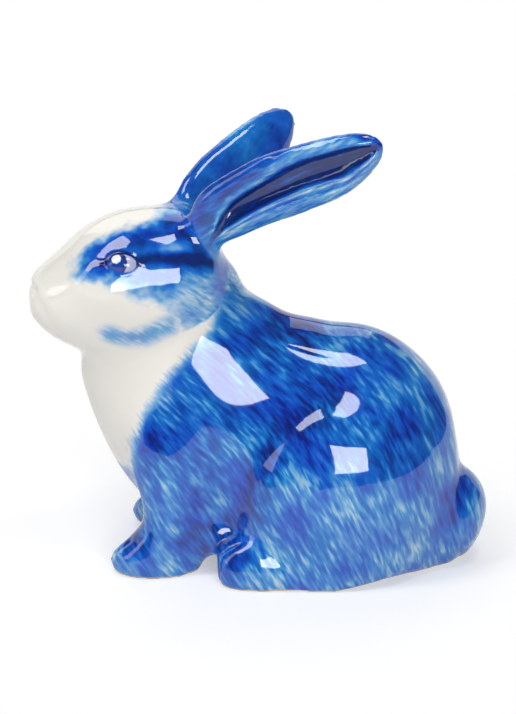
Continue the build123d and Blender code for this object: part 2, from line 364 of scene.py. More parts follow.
# carving: finer mesh where it is needed, then the features pressed into it
carving = {
    # finer mesh: centre and radius in mm, rounds, each a little smaller than the one before
    "finer": [
        (headPlace(-16.9, -15.5, 10.6), 6.5, 2), (headPlace(-16.9, 15.5, 10.6), 6.5, 2),
        (headPlace(-36.5, 0, -1.0), 10.5, 1),
        (Vector((-35, -18.5, 4)), 7.5, 1), (Vector((-31, 16.5, 4)), 7.5, 1),
        (Vector((-7, -26.0, 5)), 8.0, 1), (Vector((-7, 24.0, 5)), 8.0, 1),
    ],
    "finerStep": 1.2,  # mm
    "finerPasses": 3,  # of smoothing after each round
    # grooves on both sides of the head, head places in mm: line, depth, half width
    "headGrooves": [
        ([(-39.4, 0, 2.3), (-38.4, 4.0, 1.6)], 0.55, 1.2),
        ([(-38.4, 4.0, 1.6), (-36.6, 7.8, -1.6), (-35.1, 9.0, -4.9), (-33.5, 9.0, -8.1)], 0.36, 1.9),
        ([(-39.6, 0, 6.5), (-39.4, 0, 2.3)], 0.35, 0.8),
        ([(-38.9, 2.0, 5.6), (-38.2, 3.0, 6.0)], 0.40, 0.7),
        ([(-25.5, 14.0, 6.5), (-21.5, 15.5, 3.5)], -1.5, 5.5),  # the cheek under the eye, filled up
    ],
    # between the toes: line, depth, half width
    "toeGrooves": [
        ([(-40, -20.3, 1), (-38.5, -20.3, 5.5), (-34.0, -20.3, 9)], 0.6, 0.75),
        ([(-40, -16.3, 1), (-38.5, -16.3, 5.5), (-34.0, -16.3, 9)], 0.6, 0.75),
        ([(-36, 18.3, 1), (-34.5, 18.3, 5.5), (-30.0, 18.3, 9)], 0.6, 0.75),
        ([(-36, 14.3, 1), (-34.5, 14.3, 5.5), (-30.0, 14.3, 9)], 0.6, 0.75),
        ([(-10.8, -28.4, 1), (-10.2, -28.4, 8), (-5.0, -28.4, 12)], 0.6, 0.8),
        ([(-10.8, -23.6, 1), (-10.2, -23.6, 8), (-5.0, -23.6, 12)], 0.6, 0.8),
        ([(-10.8, 26.4, 1), (-10.2, 26.4, 8), (-5.0, 26.4, 12)], 0.6, 0.8),
        ([(-10.8, 21.6, 1), (-10.2, 21.6, 8), (-5.0, 21.6, 12)], 0.6, 0.8),
    ],
    # the foot's edge put right: x, and how far it moves outwards, in mm, fading out upwards
    "footEdge": [(26, 0), (32, 1.2), (36, 3.2), (40, 3.2), (44, 1.2), (48, -2.4), (52, -6.0), (56, -3.0),
                 (60, 0)],
    "footFade": 12.0,
    "footSides": (2, 11),  # mm from the middle line, from none to all of it
    "ground": 0.2,  # mm; what lies lower is set flat on the ground
}

ears = {
    # each ear's root in mm in the head, rise and splay in degrees, as in the castings
    "left": ((2.63, -8.07, 13.52), 30.8, 27.1),
    "right": ((-2.18, 1.41, 4.80), 36.0, 37.2),
    "length": 56.5,
    # the castings' bow: share of the length, bow as a share of it
    "bow": [(0, 0), (0.1, 0.042), (0.18, 0.058), (0.27, 0.062), (0.36, 0.059), (0.46, 0.05), (0.56, 0.038),
            (0.66, 0.022), (0.77, 0.01), (0.87, 0.007), (1, 0)],
    # the slot in the cup: share of the length, its middle across and its half width, in mm
    "slot": [(0.10, -2.8, 0.6), (0.14, -2.3, 0.8), (0.2, -1.2, 1.5), (0.265, -0.6, 1.9), (0.37, -0.2, 2.2),
             (0.48, 0.4, 2.6), (0.6, 1.3, 3.2), (0.66, 1.5, 3.4), (0.79, 1.0, 3.2), (0.9, 0.6, 2.1),
             (0.96, 0.2, 1.0)],
    # the cup's profile from lower lip to upper rim: across in half widths of the slot, mm moved outwards
    "profile": [(-3.2, 0), (-2.3, 0.35), (-2.0, 0.45), (-1.75, 0.0), (-1.5, 0.95), (-1.32, 0.95),
                (-1.0, -0.3), (-0.6, -1.0), (0.5, -1.2), (0.95, -0.2), (1.15, 0.65), (1.4, 0.7),
                (1.9, 0.1), (2.3, 0.25), (2.55, -0.2), (2.9, 0.15), (3.5, 0)],
    "cup": (0.10, 0.17, 0.92, 0.99),  # where it starts, is full, is still full and ends
    "cupDepth": (-1.6, -0.4, 6),  # mm outwards: none of it, all of it, and past the ear
    "finer": ((0.08, 1.0), (-2.6, 2.2), (-1.5, 5)),  # where the mesh is made finer: share, across, mm out
    "rubPasses": 4,  # after that, and once carved, to take the last steps out of the rims
}

eyes = {
    "place": (-16.9, 14.985, 10.6),
    "look": (-0.24, 0.85, 0.42),
    "size": (8.4, 5.8, 4.8),
    "proud": 1.1,
    "opening": (4.15, 2.55, 2.5),  # half length, height above and below the corners
    "round": 0.62,  # 1 makes the corners sharp
    "corner": 0.6,  # how fast the opening counts as deeper away from a corner
    "around": (7, -2, 5),  # mm round the middle, inwards and outwards, in which the eye is looked for
    "recess": 0.35,
    "recessEdge": (-0.35, 0.6),  # mm inside the opening, from none to all of it
    "lids": (0.14, 0.06),  # upper and lower, in mm
    "lidPlace": (0.5, 0.6),  # mm outside the opening, and half width
}


def eyeAxes(side):
    # the eye's middle in mm, then its own axes: backwards along the eye, upwards and outwards
    x, y, z = eyes["place"]
    forward, outward, upward = eyes["look"]
    look = Vector(headAlong * forward + headAcross * outward * side + np.array((0, 0, upward))).normalized()
    middle = headPlace(x, y * side, z) + look * (eyes["proud"] - eyes["size"][2] / 2)
    back = look.cross(Vector((0, 0, 1))).normalized() * side
    return middle, back, look.cross(back) * -side, look


def insideLids(u, w, cornerSlope):
    # how far inside the opening between the lids, in mm; u runs along the eye, w up it
    halfLength, above, below = eyes["opening"]
    span = np.clip(1 - (u / halfLength) ** 2, 0, 1) ** eyes["round"]
    fromLids = np.where(w > 0, above, below) * span - np.abs(w)
    return np.minimum(fromLids, (halfLength - np.abs(u)) * cornerSlope)


def eyeOpening(places, side):
    # the same for places on the head, and the height above the eye's middle
    middle, back, up, look = eyeAxes(side)
    local = places - np.array(middle)
    u, w, h = local @ np.array(back), local @ np.array(up), local @ np.array(look)
    radius, inwards, outwards = eyes["around"]
    near = (np.hypot(u, w) < radius) & (h > inwards) & (h < outwards)
    return np.where(near, insideLids(u, w, eyes["corner"]), -9), w


def earAxes(side):
    # the ear's root in mm, then its own axes: along it, upwards across it and out of its cup
    root, rise, splay = ears["left" if side < 0 else "right"]
    rise, splay = math.radians(rise), math.radians(splay)
    along = headAlong * math.cos(rise) * math.cos(splay)
    along = along + headAcross * math.cos(rise) * math.sin(splay) * side
    along = along + np.array((0, 0, math.sin(rise)))
    out = headAcross * side
    out = out - along * (out @ along)
    out = out / np.linalg.norm(out)
    return np.array(headPlace(*root)), along, np.cross(out, along) * -side, out


def inEar(places, side):
    # share of the ear's length, place across its slot in half widths, and mm out of its cup
    root, along, up, out = earAxes(side)
    local = places - root
    share = (local @ along) / ears["length"]
    bow = np.interp(share, *zip(*ears["bow"])) * ears["length"]
    slotShares, middles, halfWidths = zip(*ears["slot"])
    middle = np.interp(share, slotShares, middles)
    halfWidth = np.interp(share, slotShares, halfWidths)
    return share, (local @ up - bow - middle) / halfWidth, local @ out


def refine(mesh):
    clay = bmesh.new()
    clay.from_mesh(mesh)
    for centre, radius, rounds in carving["finer"]:
        for turn in range(rounds):
            reach = (radius - carving["finerStep"] * turn) * mm
            near = {v for v in clay.verts if (v.co - centre * mm).length < reach}
            edges = [e for e in clay.edges if e.verts[0] in near and e.verts[1] in near]
            bmesh.ops.subdivide_edges(clay, edges=edges, cuts=1, use_grid_fill=True)
            near = [v for v in clay.verts if (v.co - centre * mm).length < reach]
            rubVerts(clay, near, carving["finerPasses"])
    # the ears get it along the whole cup
    places = np.array([v.co for v in clay.verts]) / mm
    cup = np.zeros(len(places), bool)
    for side in (-1, 1):
        cup |= np.all([(measure > low) & (measure < high)
                       for measure, (low, high) in zip(inEar(places, side), ears["finer"])], axis=0)
    clay.verts.ensure_lookup_table()
    near = {clay.verts[i] for i in np.flatnonzero(cup)}
    edges = [e for e in clay.edges if e.verts[0] in near and e.verts[1] in near]
    bmesh.ops.subdivide_edges(clay, edges=edges, cuts=1, use_grid_fill=True)
    # the grid fill has replaced some of them
    rubVerts(clay, [v for v in near if v.is_valid] + clay.verts[len(places):], ears["rubPasses"])
    bmesh.ops.triangulate(clay, faces=[f for f in clay.faces if len(f.verts) > 4])
    clay.to_mesh(mesh)
    clay.free()


def carve(mesh):
    places = readPlaces(mesh) / mm
    head = inHead(places)
    mirrored = np.stack([head[:, 0], np.abs(head[:, 1]), head[:, 2]], 1)
    moved = np.zeros(len(places))
    for points, grooves in ((mirrored, carving["headGrooves"]), (places, carving["toeGrooves"])):
        for line, depth, halfWidth in grooves:
            moved -= depth * np.exp(-(lineDistance(points, line) / halfWidth) ** 2)
    places += readNormals(mesh) * moved[:, None]
    # ears: the slot under the upper lip, and the double lower lip
    starts, full, stillFull, ends = ears["cup"]
    floorNone, floorAll, past = ears["cupDepth"]
    for side in (-1, 1):
        share, across, out = inEar(places, side)
        within = softStep(share, starts, full) * (1 - softStep(share, stillFull, ends))
        within = np.where(out < past, within * softStep(out, floorNone, floorAll), 0)
        places += np.outer(np.interp(across, *zip(*ears["profile"])) * within, earAxes(side)[3])
    # eyes: a recess for the eyeball inside the opening, and lids round it
    away, width = eyes["lidPlace"]
    for side in (-1, 1):
        within, w = eyeOpening(places, side)
        lid = np.where(w > 0, *eyes["lids"]) * np.exp(-((within + away) / width) ** 2)
        press = -eyes["recess"] * softStep(within, *eyes["recessEdge"])
        places += np.outer(lid + press, np.array(eyeAxes(side)[3]))
    # the foot's edge on the near side, and its outward moves on the far side too
    edge = np.interp(places[:, 0], *zip(*carving["footEdge"]))
    edge *= np.clip(1 - places[:, 2] / carving["footFade"], 0, 1) ** 1.5
    near = softStep(-places[:, 1], *carving["footSides"])
    far = softStep(places[:, 1], *carving["footSides"])
    places[:, 1] += -edge * near + np.maximum(edge, 0) * far
    places[:, 2] = np.where(places[:, 2] < carving["ground"], 0, places[:, 2])
    writePlaces(mesh, places * mm)
    clay = bmesh.new()
    clay.from_mesh(mesh)
    clay.verts.ensure_lookup_table()
    onEars = np.flatnonzero(readField(mesh, "earShare") > 0.3)
    rubVerts(clay, [clay.verts[i] for i in onEars], ears["rubPasses"])
    clay.to_mesh(mesh)
    clay.free()


refine(smooth)
carve(smooth)
triangles = sum(len(p.vertices) - 2 for p in smooth.polygons)
print("carved:", len(smooth.vertices), "vertices,", triangles, "triangles")


# where the cobalt goes; all in mm, head places unrolled as (x, arc from the crown)
paint = {
    "arcRadius": 19.0,
    "bodyOutline": [(-60, 25), (-33.4, 25.3), (-32.7, 34.7), (-30.6, 39.9), (-28.4, 45.5), (-25.3, 51.0),
                    (-20.5, 56.0), (-16.2, 60.8), (-12.4, 65.1), (-10.9, 69.2), (-9.6, 76.4), (-9, 120),
                    (80, 120), (80, -10), (-60, -10)],
    "headOutline": [(-29.0, 17.0), (-28.6, 13.0), (-26.0, 9.5), (-22.0, 8.0), (-17.5, 7.6), (-12.6, 6.8),
                    (-8.3, 5.0), (-5.6, 2.6), (-4.2, -4), (30, -4), (30, 46), (8.0, 43.0), (4.0, 41.5),
                    (0.5, 39.0), (-2.5, 35.5), (-5.0, 31.0), (-9.0, 28.2), (-13.8, 27.6), (-17.4, 26.0),
                    (-21.0, 23.6), (-24.9, 22.6), (-28.0, 22.0), (-29.6, 19.0)],
    "earInside": 8,  # an ear counts as this far inside its outline
    # brush marks on the head, and a painted reflection on the forehead: line, half width, softness, cobalt
    # added
    "headMarksAndReflection": [
        ([(-20.0, 38.6), (-16.0, 39.6), (-11.5, 38.4), (-7.7, 36.4), (-4.5, 35.0)], 0.4, 4.2, 0.38),
        ([(-24.5, 17.6), (-20.5, 17.0)], 0.2, 1.3, 0.35),
        ([(-13.5, 18.2), (-9.7, 17.6), (-2.2, 17.9), (5.6, 18.2)], 0.3, 2.4, 0.42),
        ([(0.6, 13.0), (2.4, 18.0)], 1.6, 3.4, 0.30),
        ([(1.0, 27.0), (4.0, 36.0)], 4.0, 4.0, -0.20),
        # paler along the upper edge of the blue on the forehead: a painted reflection
        ([(-17.0, 4.0), (-11.0, 5.0)], 1.4, 2.0, -0.45),
        ([(-24.5, 22.0), (-26.8, 17.0), (-24.4, 12.0), (-17.0, 9.5)], 0.4, 3.4, -0.12),
        ([(-26, 15), (-20, 13), (-12, 12), (-6, 12)], 0.8, 4.0, 0.14),
        ([(-3, 8), (6, 9)], 1.0, 4.0, 0.16),
        ([(-6.0, 14.6), (-1.0, 14.6)], 0.6, 2.0, -0.30),
        ([(-20, 24.6), (-14, 26.5), (-8, 25.8)], 0.8, 3.2, -0.20),
    ],
    # the same on the body, lines in (x, z), with painted shade in the crease before each haunch and in the
    # hollow behind each forepaw
    "bodyMarksAndShade": [
        # darker along the crease in front of the haunch: painted shade
        ([(-2, 18), (-1, 28), (4, 38), (12, 45.5), (20, 49)], 0.6, 5.5, 0.20),
        ([(-2, 65), (10, 60)], 2.0, 6.0, 0.14),
        ([(-10, 82), (-5, 76), (-2, 70)], 3.0, 6.0, -0.32),
        ([(42, 54), (50, 46)], 2.0, 6.0, -0.08),
        ([(-33, 9), (-28, 13)], 1.0, 3.5, 0.26),
        ([(-8, 4), (-5, 9)], 0.8, 3.0, 0.22),
        # darker in the hollow between forepaw and hind foot: painted shade
        ([(-17, 9), (-9, 13)], 2.0, 4.0, 0.25),
        ([(51, 22), (49, 14)], 0.8, 3.5, 0.16),
        ([(-27.5, 38), (-26.5, 28)], 0.8, 3.2, 0.16),
        ([(22, 58), (34, 50)], 2.0, 8.0, -0.10),
        ([(34, 36), (40, 40)], 3.0, 8.0, 0.12),
        ([(-26, 46), (-18, 54)], 0.5, 5.0, -0.10),
        ([(20, 26), (34, 12)], 4.0, 12.0, -0.10),
        ([(42, 46), (50, 30)], 2.0, 8.0, -0.10),
        ([(-27, 28), (-24, 16)], 1.5, 6.0, -0.10),
    ],
    # painted shade and highlights along the cup of each ear, darker in the slot and paler along the lip
    # ridges: across in half widths of the slot, cobalt added
    "earShadeAndHighlights": [(-4.0, 0.05), (-3.2, -0.22), (-2.4, -0.26), (-2.0, -0.34), (-1.72, -0.02), (-1.45, -0.48),
                 (-1.05, 0.40), (0.5, 0.42), (0.95, 0.16), (1.2, -0.12), (1.6, -0.32), (2.0, -0.20),
                 (2.4, 0.12), (3.0, 0.10)],
    "cup": (0.06, 0.14, 0.94, 1.0),  # shares of the ear between which these marks come and go
    "cupDepth": (-1.6, -0.6, 5),
    "bodyLevel": [(0, 0.52), (12, 0.58), (28, 0.64), (45, 0.72), (70, 0.72)],  # by height
    "headLevel": 0.60,
    "earLevel": 0.70,
    "lashes": (0.55, 0.14),  # the dark line round the opening of the eye, above and below
    "lashPlace": (0.35, 0.5),  # how far outside the opening, and its half width
    # how much the brush strokes show: on the face, at the back of the cheeks, on the near and the far ear
    "brush": (0.15, 0.65, 0.7, 0.2),
    "cheekStarts": ((-10, 2), (19, 26)),  # from the face to the back of the cheek, in x and in arc
    # the way the strokes run, degrees below the horizontal towards the tail, at places (x, z)
    "runs": [(-20, 60, 38), (-4, 58, 36), (12, 58, 28), (28, 54, 36), (42, 42, 62), (52, 28, 80),
             (57, 16, 84), (18, 34, 52), (30, 22, 58), (6, 22, 58), (-25, 38, 48), (-27, 20, 66),
             (-29, 8, 60), (42, 12, 70), (-12, 82, 22), (-30, 86, 12), (-42, 82, 14), (-12, 70, 30)],
    "blend": 20,  # mm squared, how softly one place passes into the next
    "grid": ((-66, -6), 3.0, (45, 45)),  # for the strokes' own coordinates: corner, spacing and size
    "joint": (0.2, 0.8),  # shares of an ear between which its coordinates are joined to the head's
}


def strokeCoordinates(x, z):
    # two fields whose slopes run along and across the strokes, fitted on a grid and read off it
    (startX, startZ), spacing, (columns, rows) = paint["grid"]
    gridX, gridZ = np.meshgrid(startX + spacing * np.arange(columns), startZ + spacing * np.arange(rows))
    run = np.zeros(gridX.shape)
    total = np.zeros(gridX.shape)
    for px, pz, angle in paint["runs"]:
        weight = 1 / ((gridX - px) ** 2 + (gridZ - pz) ** 2 + paint["blend"]) ** 2
        run += weight * math.radians(angle)
        total += weight
    run /= total
    index = np.arange(run.size).reshape(run.shape)
    steps = np.zeros((run.size, run.size))
    wanted = np.zeros((run.size, 2))
    slopeX = np.stack([np.cos(run), np.sin(run)], -1)
    slopeZ = np.stack([-np.sin(run), np.cos(run)], -1)
    for first, second, slope in ((np.s_[:, :-1], np.s_[:, 1:], slopeX),
                                 (np.s_[:-1, :], np.s_[1:, :], slopeZ)):
        a, b = index[first].ravel(), index[second].ravel()
        rise = ((slope[first] + slope[second]) * spacing / 2).reshape(-1, 2)
        for row, column, value in ((a, a, 1), (b, b, 1), (a, b, -1), (b, a, -1)):
            np.add.at(steps, (row, column), value)
        np.add.at(wanted, b, rise)
        np.add.at(wanted, a, -rise)
    steps[0, 0] += 1
    fitted = np.linalg.solve(steps, wanted).reshape(rows, columns, 2)
    u = np.clip((x - startX) / spacing, 0, columns - 1.001)
    v = np.clip((z - startZ) / spacing, 0, rows - 1.001)
    i, j = u.astype(int), v.astype(int)
    u, v = (u - i)[:, None], (v - j)[:, None]
    read = (fitted[j, i] * (1 - u) + fitted[j, i + 1] * u) * (1 - v)
    read += (fitted[j + 1, i] * (1 - u) + fitted[j + 1, i + 1] * u) * v
    return read[:, 0], read[:, 1]


def paintFields(mesh):
    places = readPlaces(mesh) / mm
    earShare, headShare = readField(mesh, "earShare"), readField(mesh, "headShare")
    x, z = places[:, 0], places[:, 2]
    head = inHead(places)
    arc = paint["arcRadius"] * np.arctan2(np.abs(head[:, 1]), head[:, 2])
    edge = insideDistance(x, z, paint["bodyOutline"]) * (1 - headShare)
    edge += insideDistance(head[:, 0], arc, paint["headOutline"]) * headShare
    edge = edge * (1 - earShare) + paint["earInside"] * earShare
    level = np.interp(z, *zip(*paint["bodyLevel"])) * (1 - headShare) + paint["headLevel"] * headShare
    level = level * (1 - earShare) + paint["earLevel"] * earShare
    unrolled, profile = np.stack([head[:, 0], arc], 1), np.stack([x, z], 1)
    # brush marks, and the painted shade, painted highlights and painted reflection, summed
    marksAndPaintedLight = np.zeros(len(x))
    for lines, points, where in ((paint["headMarksAndReflection"], unrolled, headShare),
                                 (paint["bodyMarksAndShade"], profile, (1 - headShare) * (1 - earShare))):
        for line, halfWidth, softness, added in lines:
            away = lineDistance(points, line)
            marksAndPaintedLight += where * added * (1 - softStep(away, halfWidth, halfWidth + softness))
    starts, full, stillFull, ends = paint["cup"]
    floorNone, floorAll, past = paint["cupDepth"]
    away, width = paint["lashPlace"]
    for side in (-1, 1):
        share, across, out = inEar(places, side)
        # painted shade in each ear's slot, painted highlights along its ridges
        onCup = softStep(share, starts, full) * (1 - softStep(share, stillFull, ends))
        onCup = np.where(out < past, onCup * softStep(out, floorNone, floorAll), 0)
        marksAndPaintedLight += onCup * np.interp(across, *zip(*paint["earShadeAndHighlights"]))
        within, w = eyeOpening(places, side)
        marksAndPaintedLight += np.where(w > 0, *paint["lashes"]) * np.exp(-((within + away) / width) ** 2)
    # the strokes' own coordinates; on each ear they run along it, and join the head's at its root
    flow, cross = strokeCoordinates(x, z)
    farEar = places @ headAcross > headOrigin @ headAcross
    for side, here in ((-1, ~farEar), (1, farEar)):
        root, along, up, out = earAxes(side)
        onEar = here & (earShare > 0)
        joint = onEar & (earShare > paint["joint"][0]) & (earShare < paint["joint"][1])
        for field, axis in ((flow, along), (cross, up)):
            measured = places @ axis
            measured += (field[joint] - measured[joint]).mean()
            field[onEar] += ((measured - field) * earShare)[onEar]
    face, cheek, nearBrush, farBrush = paint["brush"]
    alongCheek, roundCheek = paint["cheekStarts"]
    brush = face + (cheek - face) * softStep(head[:, 0], *alongCheek) * softStep(arc, *roundCheek)
    brush = 1 - headShare * (1 - brush)
    brush = brush * (1 - earShare) + np.where(farEar, farBrush, nearBrush) * earShare
    for name, values in (("edge", edge), ("level", level), ("marksAndPaintedLight", marksAndPaintedLight), ("flow", flow), ("cross", cross),
                         ("brush", brush)):
        writeField(mesh, name, values)


paintFields(smooth)
print("paint fields set")


# glazed earthenware: white tin glaze under brushed cobalt, fired glossy, so it mirrors the lamps sharply
glaze = {
    # cobalt from none to its deepest: amount, colour
    "stops": [(0.0, "#F1EEE6"), (0.14, "#BCD0E6"), (0.30, "#78AEDC"), (0.46, "#3A8AD2"), (0.60, "#126ACC"),
              (0.74, "#0556BC"), (0.88, "#023C9C"), (1.05, "#02246E")],
    # the layers of brush strokes: length, width and depth in mm, and strength
    "strokes": [(8.0, 2.2, 4.0, 0.55), (5.0, 0.85, 2.6, 0.90)],
    "light": (-0.05, 0.22, 0.30),  # strokes from where to where count as pale, and by how much
    "dark": (0.0, -0.20, 0.16),
    "patchSize": 9.0,  # mm
    "patchStrength": 0.38,
    "patchHue": (0.2, 0.01),  # patches from minus to plus this turn the hue by so much
    "patchCrowd": (0.1, 0.55),  # the same for the pale strokes, and the share of them where they are fewest
    "blotchSize": 4.5,  # mm
    # each pair: where no brush stroke shows, and where they all do
    "blotchStrength": (0.95, 0.1),
    "feather": (1.0, 4.0),  # mm that the strokes move the painted edge
    "wash": (9.0, 2.0),  # mm that the blotches move it
    "fullFrom": (5.0, 2.6),  # mm inside it where the cobalt is at full strength
    "noneFrom": -1.6,  # mm, where it starts
    "broken": (1.6, 2.0, 0.8),  # thin marks: broken up by strokes and by blotches, and what stays
    "clayColour": "#D3BD98",
    "clayLine": 0.65,  # mm
    "clayBlur": 0.15,
    "clayWobble": 0.9,
    "ior": 1.66,
    "roughness": 0.045,
}


def makeGlaze():
    material = newMaterial("painted_glaze")
    tree = material.node_tree
    coordinates = addNode(tree, "ShaderNodeTexCoord", {}).outputs["Object"]
    split = addNode(tree, "ShaderNodeSeparateXYZ", {"Vector": coordinates})
    fields = {name: addNode(tree, "ShaderNodeAttribute", {}, attribute_name=name).outputs["Fac"]
              for name in ("edge", "level", "marksAndPaintedLight", "flow", "cross", "brush")}
    brush = fields["brush"]
    strokes = None
    for length, width, depth, strength in glaze["strokes"]:
        # the fields are in mm, the object's own coordinates in metres
        along = addNode(tree, "ShaderNodeMath", {0: fields["flow"], 1: 1 / length}, operation="MULTIPLY")
        across = addNode(tree, "ShaderNodeMath", {0: fields["cross"], 1: 1 / width}, operation="MULTIPLY")
        deep = addNode(tree, "ShaderNodeMath", {0: split.outputs["Y"], 1: 1 / (depth * mm)},
                       operation="MULTIPLY")
        place = addNode(tree, "ShaderNodeCombineXYZ", {"X": along, "Y": across, "Z": deep})
        dabs = addNode(tree, "ShaderNodeTexNoise", {
            "Vector": place, "Scale": 1.0, "Detail": 1.0, "Roughness": 0.5})
        dabs = addNode(tree, "ShaderNodeMath", {0: dabs, 1: 0.5}, operation="SUBTRACT")
        dabs = addNode(tree, "ShaderNodeMath", {0: dabs, 1: strength}, operation="MULTIPLY")
        if strokes:
            dabs = addNode(tree, "ShaderNodeMath", {0: strokes, 1: dabs}, operation="ADD")
        strokes = dabs

    # pale and dark strokes, more of the pale ones in some patches
    patches = addNode(tree, "ShaderNodeTexNoise", {
        "Vector": coordinates, "Scale": 1 / (glaze["patchSize"] * mm), "Detail": 1.0})
    patches = addNode(tree, "ShaderNodeMath", {0: patches, 1: 0.5}, operation="SUBTRACT")
    reach, fewest = glaze["patchCrowd"]
    crowd = addNode(tree, "ShaderNodeMapRange", {
        "Value": patches, "From Min": -reach, "From Max": reach, "To Min": fewest, "To Max": 1.0})
    low, high, amount = glaze["light"]
    pale = addNode(tree, "ShaderNodeMapRange", {
        "Value": strokes, "From Min": low, "From Max": high, "To Max": -amount},
        interpolation_type="SMOOTHSTEP")
    pale = addNode(tree, "ShaderNodeMath", {0: pale, 1: crowd}, operation="MULTIPLY")
    low, high, amount = glaze["dark"]
    dark = addNode(tree, "ShaderNodeMapRange", {
        "Value": strokes, "From Min": low, "From Max": high, "To Max": amount},
        interpolation_type="SMOOTHSTEP")
    stroked = addNode(tree, "ShaderNodeMath", {0: pale, 1: dark}, operation="ADD")

    # soft watery blotches, which take over from the strokes on the face
    blotches = addNode(tree, "ShaderNodeTexNoise", {
        "Vector": coordinates, "Scale": 1 / (glaze["blotchSize"] * mm), "Detail": 2.0})
    blotches = addNode(tree, "ShaderNodeMath", {0: blotches, 1: 0.5}, operation="SUBTRACT")

    # how strongly the blotches show, and how strokes and blotches move the painted edge
    blotched, feather, wash, full = [
        addNode(tree, "ShaderNodeMapRange", {"Value": brush, "To Min": without, "To Max": brushed})
        for without, brushed in (glaze["blotchStrength"], glaze["feather"], glaze["wash"], glaze["fullFrom"])]
    edge = addNode(tree, "ShaderNodeMath", {0: strokes, 1: feather, 2: fields["edge"]},
                   operation="MULTIPLY_ADD")
    edge = addNode(tree, "ShaderNodeMath", {0: blotches, 1: wash, 2: edge}, operation="MULTIPLY_ADD")
    painted = addNode(tree, "ShaderNodeMapRange", {
        "Value": edge, "From Min": glaze["noneFrom"], "From Max": full}, interpolation_type="SMOOTHSTEP")

    # the amount of cobalt, with the painted shade, highlights and reflection among the marks
    tone = addNode(tree, "ShaderNodeMath", {0: fields["level"], 1: fields["marksAndPaintedLight"]}, operation="ADD")
    tone = addNode(tree, "ShaderNodeMath", {0: stroked, 1: brush, 2: tone}, operation="MULTIPLY_ADD")
    tone = addNode(tree, "ShaderNodeMath", {0: blotches, 1: blotched, 2: tone}, operation="MULTIPLY_ADD")
    tone = addNode(tree, "ShaderNodeMath", {0: patches, 1: -glaze["patchStrength"], 2: tone},
                   operation="MULTIPLY_ADD")
    cobalt = addNode(tree, "ShaderNodeMath", {0: tone, 1: painted}, operation="MULTIPLY")
    # thin marks outside the painted edge still show, broken up by the strokes and blotches
    byStrokes, byBlotches, stays = glaze["broken"]
    broken = addNode(tree, "ShaderNodeMath", {0: strokes, 1: byStrokes, 2: stays}, operation="MULTIPLY_ADD")
    broken = addNode(tree, "ShaderNodeMath", {0: blotches, 1: byBlotches, 2: broken},
                     operation="MULTIPLY_ADD", use_clamp=True)
    broken = addNode(tree, "ShaderNodeMath", {0: broken, 1: fields["marksAndPaintedLight"]}, operation="MULTIPLY")
    cobalt = addNode(tree, "ShaderNodeMath", {0: cobalt, 1: broken}, operation="MAXIMUM")
    deepest = glaze["stops"][-1][0]
    cobalt = addNode(tree, "ShaderNodeMath", {0: cobalt, 1: deepest}, operation="DIVIDE")
    ramp = addNode(tree, "ShaderNodeValToRGB", {0: cobalt})
    stops = ramp.color_ramp.elements
    stops.remove(stops[-1])
    stops[0].position, stops[0].color = glaze["stops"][0][0], hexColour(glaze["stops"][0][1])
    for amount, colour in glaze["stops"][1:]:
        stops.new(amount / deepest).color = hexColour(colour)
    reach, turn = glaze["patchHue"]
    tint = addNode(tree, "ShaderNodeMapRange", {
        "Value": patches, "From Min": -reach, "From Max": reach, "To Min": 0.5 + turn, "To Max": 0.5 - turn})
    colour = addNode(tree, "ShaderNodeHueSaturation", {"Hue": tint, "Color": ramp})

    # the glaze is wiped off along the foot, and the bare clay shows as a thin tan line
    height = addNode(tree, "ShaderNodeMath", {
        0: blotches, 1: -glaze["clayWobble"] * mm, 2: split.outputs["Z"]}, operation="MULTIPLY_ADD")
    bare = addNode(tree, "ShaderNodeMapRange", {
        "Value": height, "From Min": (glaze["clayLine"] + glaze["clayBlur"]) * mm,
        "From Max": (glaze["clayLine"] - glaze["clayBlur"]) * mm})
    colour = addNode(tree, "ShaderNodeMix", {"Factor": bare, 6: colour, 7: hexColour(glaze["clayColour"])},
                     data_type="RGBA")
    shader = addNode(tree, "ShaderNodeBsdfPrincipled", {
        "Base Color": colour.outputs[2], "Roughness": glaze["roughness"], "IOR": glaze["ior"]})
    addNode(tree, "ShaderNodeOutputMaterial", {"Surface": shader})
    return material


# unglazed earthenware under the foot: matt, tan and finely speckled
bareClay = {
    "colours": ("#B3946E", "#CDB492"),
    "grain": 0.6,  # mm
    "relief": (0.3, 0.1),  # strength, and depth in mm
    "roughness": 0.85,
}


def makeClay():
    material = newMaterial("bare_clay")
    tree = material.node_tree
    coordinates = addNode(tree, "ShaderNodeTexCoord", {}).outputs["Object"]
    grain = addNode(tree, "ShaderNodeTexNoise", {
        "Vector": coordinates, "Scale": 1 / (bareClay["grain"] * mm), "Detail": 3.0})
    dark, pale = bareClay["colours"]
    colour = addNode(tree, "ShaderNodeMix", {"Factor": grain, 6: hexColour(dark), 7: hexColour(pale)},
                     data_type="RGBA")
    strength, depth = bareClay["relief"]
    relief = addNode(tree, "ShaderNodeBump", {"Strength": strength, "Distance": depth * mm, "Height": grain})
    shader = addNode(tree, "ShaderNodeBsdfPrincipled", {
        "Base Color": colour.outputs[2], "Roughness": bareClay["roughness"], "Normal": relief})
    addNode(tree, "ShaderNodeOutputMaterial", {"Surface": shader})
    return material


smooth.materials.append(makeGlaze())
smooth.materials.append(makeClay())
for polygon in smooth.polygons:
    polygon.use_smooth = True
    facesDown, onGround = polygon.normal.z < -0.9, polygon.center.z < 0.1 * mm
    if facesDown and onGround:
        polygon.material_index = 1
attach(skinShape, "root")
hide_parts(*skin["castings"])
print("skin:", len(smooth.polygons), "faces")


